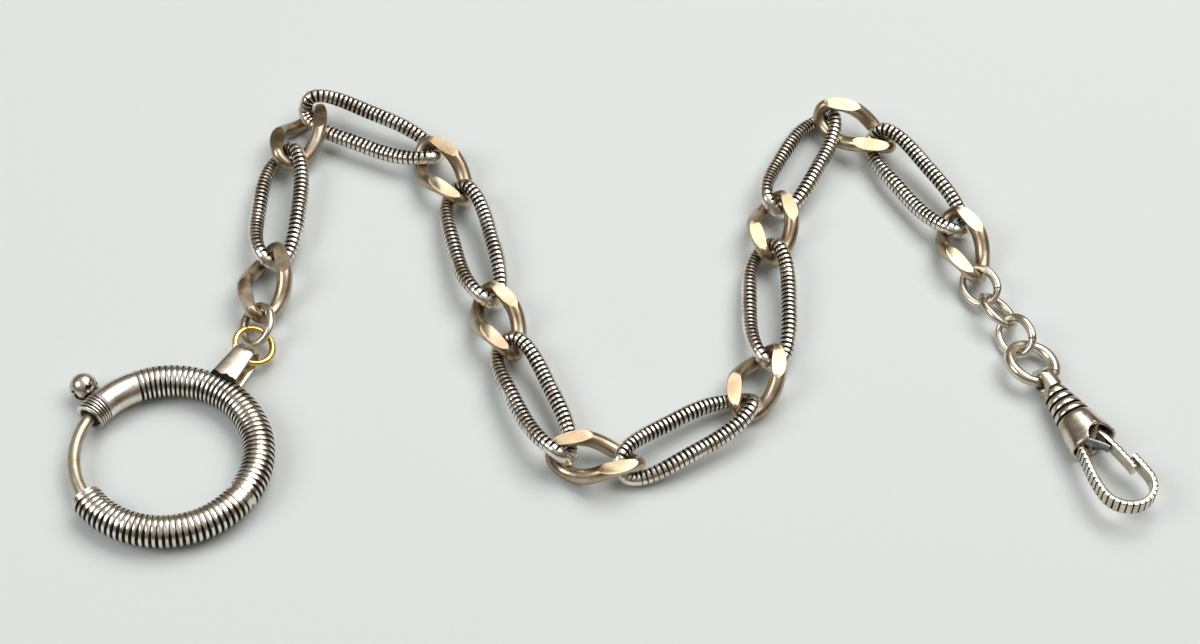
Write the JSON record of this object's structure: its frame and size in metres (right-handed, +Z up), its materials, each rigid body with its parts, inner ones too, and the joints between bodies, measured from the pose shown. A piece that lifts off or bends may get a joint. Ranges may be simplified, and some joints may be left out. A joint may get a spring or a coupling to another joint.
{
  "type": "pocket watch chain",
  "caption": "Curb chain for a pocket watch, with a sprung bolt ring at one end and a swivel hook clasp at the other.",
  "frame": {"origin": "middle of the bounding box at the height of the table the chain lies on", "axes": "+Z up from the table, +X from the spring ring towards the clasp, +Y across, towards the far side of the loop"},
  "size_m": [0.1544, 0.0932, 0.0067],
  "materials": {
    "fluted_silver": "worn bright with dark grooves",
    "ribbed_silver": "worn bright with dark grooves",
    "filed_silver": "soft polish, warm tarnish",
    "plain_silver": "soft polish",
    "grooved_silver": "worn bright with dark grooves",
    "bright_silver": "polished",
    "worn_silver": "soft polish, tarnished",
    "yellow_gold": "polished",
    "spring_steel": "blued"
  },
  "bodies": {
    "spring_ring": {"ring_tube": "fluted_silver", "spring_stop": "spring_steel", "ring_bail": "worn_silver", "bolt_spring": "spring_steel"},
    "bolt": {"ring_bolt": "bright_silver", "bolt_knob": "worn_silver"},
    "jump_ring": {"jump_ring": "yellow_gold"},
    "oval_link_1": {"oval_link_1": "plain_silver"},
    "short_link_1": {"short_link_1": "filed_silver"},
    "long_link_1": {"long_link_1": "ribbed_silver"},
    "short_link_2": {"short_link_2": "filed_silver"},
    "long_link_2": {"long_link_2": "ribbed_silver"},
    "short_link_3": {"short_link_3": "filed_silver"},
    "long_link_3": {"long_link_3": "ribbed_silver"},
    "short_link_4": {"short_link_4": "filed_silver"},
    "long_link_4": {"long_link_4": "ribbed_silver"},
    "short_link_5": {"short_link_5": "filed_silver"},
    "long_link_5": {"long_link_5": "ribbed_silver"},
    "short_link_6": {"short_link_6": "filed_silver"},
    "long_link_6": {"long_link_6": "ribbed_silver"},
    "short_link_7": {"short_link_7": "filed_silver"},
    "long_link_7": {"long_link_7": "ribbed_silver"},
    "short_link_8": {"short_link_8": "filed_silver"},
    "long_link_8": {"long_link_8": "ribbed_silver"},
    "short_link_9": {"short_link_9": "filed_silver"},
    "oval_link_2": {"oval_link_2": "plain_silver"},
    "oval_link_3": {"oval_link_3": "plain_silver"},
    "oval_link_4": {"oval_link_4": "plain_silver"},
    "clasp_ring": {"clasp_ring": "plain_silver"},
    "eye": {"swivel_eye": "worn_silver"},
    "clasp": {"clasp_barrel": "worn_silver", "clasp_hook": "grooved_silver", "gate_pin": "bright_silver", "gate_spring": "spring_steel"},
    "gate": {"hook_gate": "grooved_silver"}
  },
  "joints": [
    {"name": "bolt_slide", "type": "hinge", "parent": "spring_ring", "child": "bolt", "pos_m": [-0.06172, -0.03169, 0.00258], "axis": [0, 0, -1], "range_deg": [0, 60], "stiffness_Nm_per_rad": 0.004, "springref_deg": -34.38, "deforming": ["bolt_spring"]},
    {"name": "spring_ring_to_jump_ring", "type": "hinge", "parent": "spring_ring", "child": "jump_ring", "pos_m": [-0.05357, -0.01419, 0.00253], "axis": [-0.8348, 0.5098, 0.2078], "range_deg": [-30, 20]},
    {"name": "jump_ring_to_oval_link_1", "type": "hinge", "parent": "jump_ring", "child": "oval_link_1", "pos_m": [-0.05241, -0.00871, 0.00271], "axis": [0.8718, -0.3158, -0.3745], "range_deg": [-30, 30]},
    {"name": "oval_link_1_to_short_link_1", "type": "hinge", "parent": "oval_link_1", "child": "short_link_1", "pos_m": [-0.05337, -0.00618, 0.00288], "axis": [0.6526, 0.0661, -0.7548], "range_deg": [-30, 30]},
    {"name": "short_link_1_to_long_link_1", "type": "hinge", "parent": "short_link_1", "child": "long_link_1", "pos_m": [-0.05315, 0.00622, 0.00312], "axis": [-0.6293, 0.0062, -0.7771], "range_deg": [-30, 30]},
    {"name": "long_link_1_to_short_link_2", "type": "hinge", "parent": "long_link_1", "child": "short_link_2", "pos_m": [-0.05457, 0.0236, 0.00327], "axis": [0.6854, -0.1248, -0.7174], "range_deg": [-30, 15]},
    {"name": "short_link_2_to_long_link_2", "type": "hinge", "parent": "short_link_2", "child": "long_link_2", "pos_m": [-0.05116, 0.03548, 0.00217], "axis": [0.4205, -0.4163, 0.8062], "range_deg": [-10, 20]},
    {"name": "long_link_2_to_short_link_3", "type": "hinge", "parent": "long_link_2", "child": "short_link_3", "pos_m": [-0.0336, 0.02965, 0.00345], "axis": [0.2588, 0.48, 0.8382], "range_deg": [-15, 30]},
    {"name": "short_link_3_to_long_link_3", "type": "hinge", "parent": "short_link_3", "child": "long_link_3", "pos_m": [-0.02632, 0.01963, 0.00291], "axis": [-0.6889, -0.2465, 0.6816], "range_deg": [-30, 30]},
    {"name": "long_link_3_to_short_link_4", "type": "hinge", "parent": "long_link_3", "child": "short_link_4", "pos_m": [-0.02101, 0.00281, 0.00303], "axis": [-0.6679, -0.2666, -0.6949], "range_deg": [-30, 30]},
    {"name": "short_link_4_to_long_link_4", "type": "hinge", "parent": "short_link_4", "child": "long_link_4", "pos_m": [-0.01597, -0.00852, 0.00312], "axis": [0.5049, 0.2399, -0.8292], "range_deg": [-30, 30]},
    {"name": "long_link_4_to_short_link_5", "type": "hinge", "parent": "long_link_4", "child": "short_link_5", "pos_m": [-0.00852, -0.0247, 0.0025], "axis": [-0.4231, -0.5376, -0.7293], "range_deg": [-5, 30]},
    {"name": "short_link_5_to_long_link_5", "type": "hinge", "parent": "short_link_5", "child": "long_link_5", "pos_m": [0.00381, -0.02556, 0.0035], "axis": [-0.1313, 0.5897, -0.7969], "range_deg": [-25, 30]},
    {"name": "long_link_5_to_short_link_6", "type": "hinge", "parent": "long_link_5", "child": "short_link_6", "pos_m": [0.01759, -0.01453, 0.00276], "axis": [-0.4535, 0.4368, 0.7769], "range_deg": [-30, 20]},
    {"name": "short_link_6_to_long_link_6", "type": "hinge", "parent": "short_link_6", "child": "long_link_6", "pos_m": [0.02182, -0.00289, 0.00331], "axis": [-0.6565, 0.0181, -0.7541], "range_deg": [-30, 30]},
    {"name": "long_link_6_to_short_link_7", "type": "hinge", "parent": "long_link_6", "child": "short_link_7", "pos_m": [0.02035, 0.01469, 0.00316], "axis": [0.6884, 0.0931, -0.7194], "range_deg": [-30, 30]},
    {"name": "short_link_7_to_long_link_7", "type": "hinge", "parent": "short_link_7", "child": "long_link_7", "pos_m": [0.02143, 0.02704, 0.00292], "axis": [-0.5747, 0.1229, -0.8091], "range_deg": [-30, 30]},
    {"name": "long_link_7_to_short_link_8", "type": "hinge", "parent": "long_link_7", "child": "short_link_8", "pos_m": [0.02735, 0.04459, 0.0045], "axis": [-0.248, 0.601, 0.7598], "range_deg": [-10, 30]},
    {"name": "short_link_8_to_long_link_8", "type": "hinge", "parent": "short_link_8", "child": "long_link_8", "pos_m": [0.0387, 0.03977, 0.00319], "axis": [-0.3545, -0.7916, 0.4977], "range_deg": [-15, 30]},
    {"name": "long_link_8_to_short_link_9", "type": "hinge", "parent": "long_link_8", "child": "short_link_9", "pos_m": [0.04835, 0.02705, 0.00329], "axis": [-0.5254, -0.3709, -0.7658], "range_deg": [-30, 30]},
    {"name": "short_link_9_to_oval_link_2", "type": "hinge", "parent": "short_link_9", "child": "oval_link_2", "pos_m": [0.05197, 0.0152, 0.00291], "axis": [0.5785, 0.2804, -0.766], "range_deg": [-30, 30]},
    {"name": "oval_link_2_to_oval_link_3", "type": "hinge", "parent": "oval_link_2", "child": "oval_link_3", "pos_m": [0.05433, 0.01128, 0.00246], "axis": [-0.7743, -0.3224, -0.5445], "range_deg": [-30, 30]},
    {"name": "oval_link_3_to_oval_link_4", "type": "hinge", "parent": "oval_link_3", "child": "oval_link_4", "pos_m": [0.0572, 0.00706, 0.00238], "axis": [0.7146, 0.4566, -0.5299], "range_deg": [-30, 30]},
    {"name": "oval_link_4_to_clasp_ring", "type": "hinge", "parent": "oval_link_4", "child": "clasp_ring", "pos_m": [0.05945, 0.00246, 0.00238], "axis": [0.5259, 0.2928, 0.7986], "range_deg": [-30, 30]},
    {"name": "clasp_ring_to_eye", "type": "hinge", "parent": "clasp_ring", "child": "eye", "pos_m": [0.06204, -0.00263, 0.00233], "axis": [0.8572, 0.515, 0], "range_deg": [-30, 30]},
    {"name": "clasp_swivel", "type": "hinge", "parent": "eye", "child": "clasp", "pos_m": [0.06324, -0.00462, 0.00247], "axis": [0.5141, -0.8556, 0.061], "continuous": true},
    {"name": "gate_hinge", "type": "hinge", "parent": "clasp", "child": "gate", "pos_m": [0.06875, -0.01109, 0.00299], "axis": [0.0314, -0.0523, -0.9981], "range_deg": [0, 30], "stiffness_Nm_per_rad": 0.0008, "springref_deg": -22.92, "deforming": ["gate_spring"]}
  ]
}
